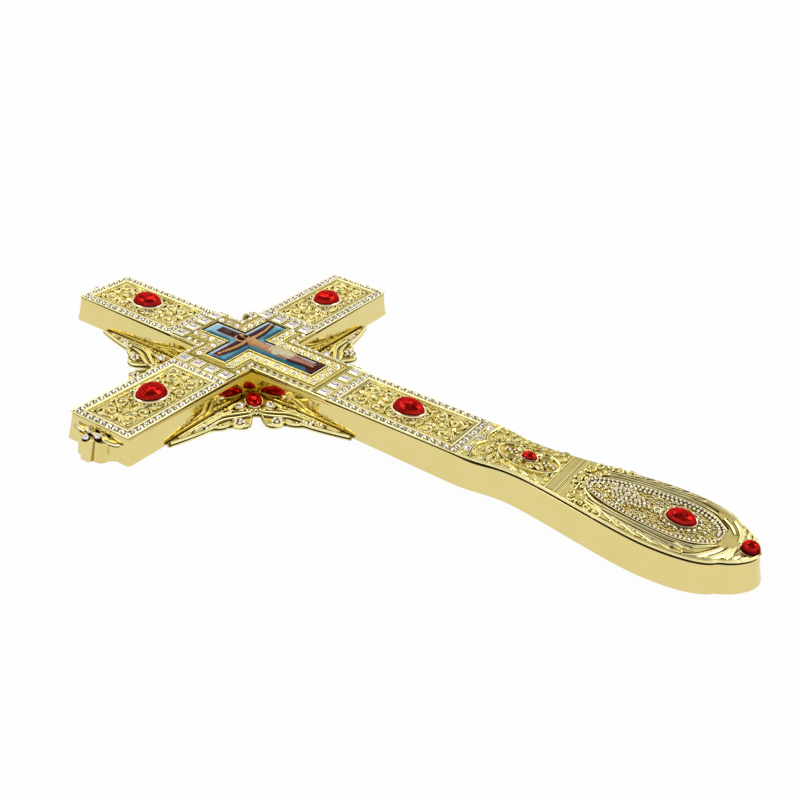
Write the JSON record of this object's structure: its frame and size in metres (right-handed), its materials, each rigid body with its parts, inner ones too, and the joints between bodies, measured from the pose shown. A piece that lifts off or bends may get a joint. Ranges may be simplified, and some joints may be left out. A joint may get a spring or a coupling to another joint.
{
  "type": "hand blessing cross",
  "caption": "Gilt hand cross with jewelled front, filigree panels, enamelled crucifixion, pierced corner ornaments and a leaf-shaped handle, lying on its back.",
  "frame": {"origin": "on the back face, under the middle of the crossing", "axes": "+Y towards the head of the cross, +X along the right arm, +Z out of the front"},
  "size_m": [0.195, 0.3318, 0.0176],
  "materials": {
    "gilt_wall": "polished gilt",
    "gilt_plate": "polished gilt",
    "gilt_casting": "gilt casting, polished on its high points",
    "gilt_mount": "polished gilt",
    "red_stone": "foil-backed red glass",
    "clear_stone": "foil-backed clear glass",
    "sky_enamel": "glossy blue enamel",
    "wood_enamel": "glossy dark brown enamel",
    "title_enamel": "glossy light brown enamel",
    "halo_enamel": "glossy cream enamel",
    "figure_enamel": "satin painted relief"
  },
  "bodies": {
    "root": {"back_plate": "gilt_wall", "bezel_head": "gilt_mount", "bezel_left": "gilt_mount", "bezel_right": "gilt_mount", "bezel_shaft": "gilt_mount", "border_stones_head": "clear_stone", "border_stones_left": "clear_stone", "border_stones_right": "clear_stone", "border_stones_shaft": "clear_stone", "brace_moulding": "gilt_mount", "casing": "gilt_wall", "corner_cabochon_head_left": "red_stone", "corner_cabochon_head_right": "red_stone", "corner_cabochon_shaft_left": "red_stone", "corner_cabochon_shaft_right": "red_stone", "corner_ornament_head_left": "gilt_casting", "corner_ornament_head_right": "gilt_casting", "corner_ornament_shaft_left": "gilt_casting", "corner_ornament_shaft_right": "gilt_casting", "corner_stone_head_left_a": "clear_stone", "corner_stone_head_left_b": "clear_stone", "corner_stone_head_right_a": "clear_stone", "corner_stone_head_right_b": "clear_stone", "corner_stone_shaft_left_a": "clear_stone", "corner_stone_shaft_left_b": "clear_stone", "corner_stone_shaft_right_a": "clear_stone", "corner_stone_shaft_right_b": "clear_stone", "enamel_ground": "sky_enamel", "end_crest_head": "gilt_casting", "end_crest_left": "gilt_casting", "end_crest_right": "gilt_casting", "figure": "figure_enamel", "filigree_head": "gilt_casting", "filigree_left": "gilt_casting", "filigree_right": "gilt_casting", "filigree_shaft": "gilt_casting", "front_plate": "gilt_plate", "grooved_band": "gilt_mount", "halo": "halo_enamel", "icon_frame": "gilt_casting", "large_cabochon": "red_stone", "large_cabochon_bezel": "gilt_mount", "large_medallion": "gilt_casting", "pave_cluster": "clear_stone", "red_stone_head": "red_stone", "red_stone_left": "red_stone", "red_stone_right": "red_stone", "red_stone_shaft": "red_stone", "small_cabochon": "red_stone", "small_cabochon_bezel": "gilt_mount", "small_medallion": "gilt_casting", "square_stones_head": "clear_stone", "square_stones_left": "clear_stone", "square_stones_right": "clear_stone", "square_stones_shaft": "clear_stone", "tip_cabochon": "red_stone", "tip_cabochon_bezel": "gilt_mount", "title_board": "title_enamel", "wood_cross": "wood_enamel"}
  },
  "joints": []
}
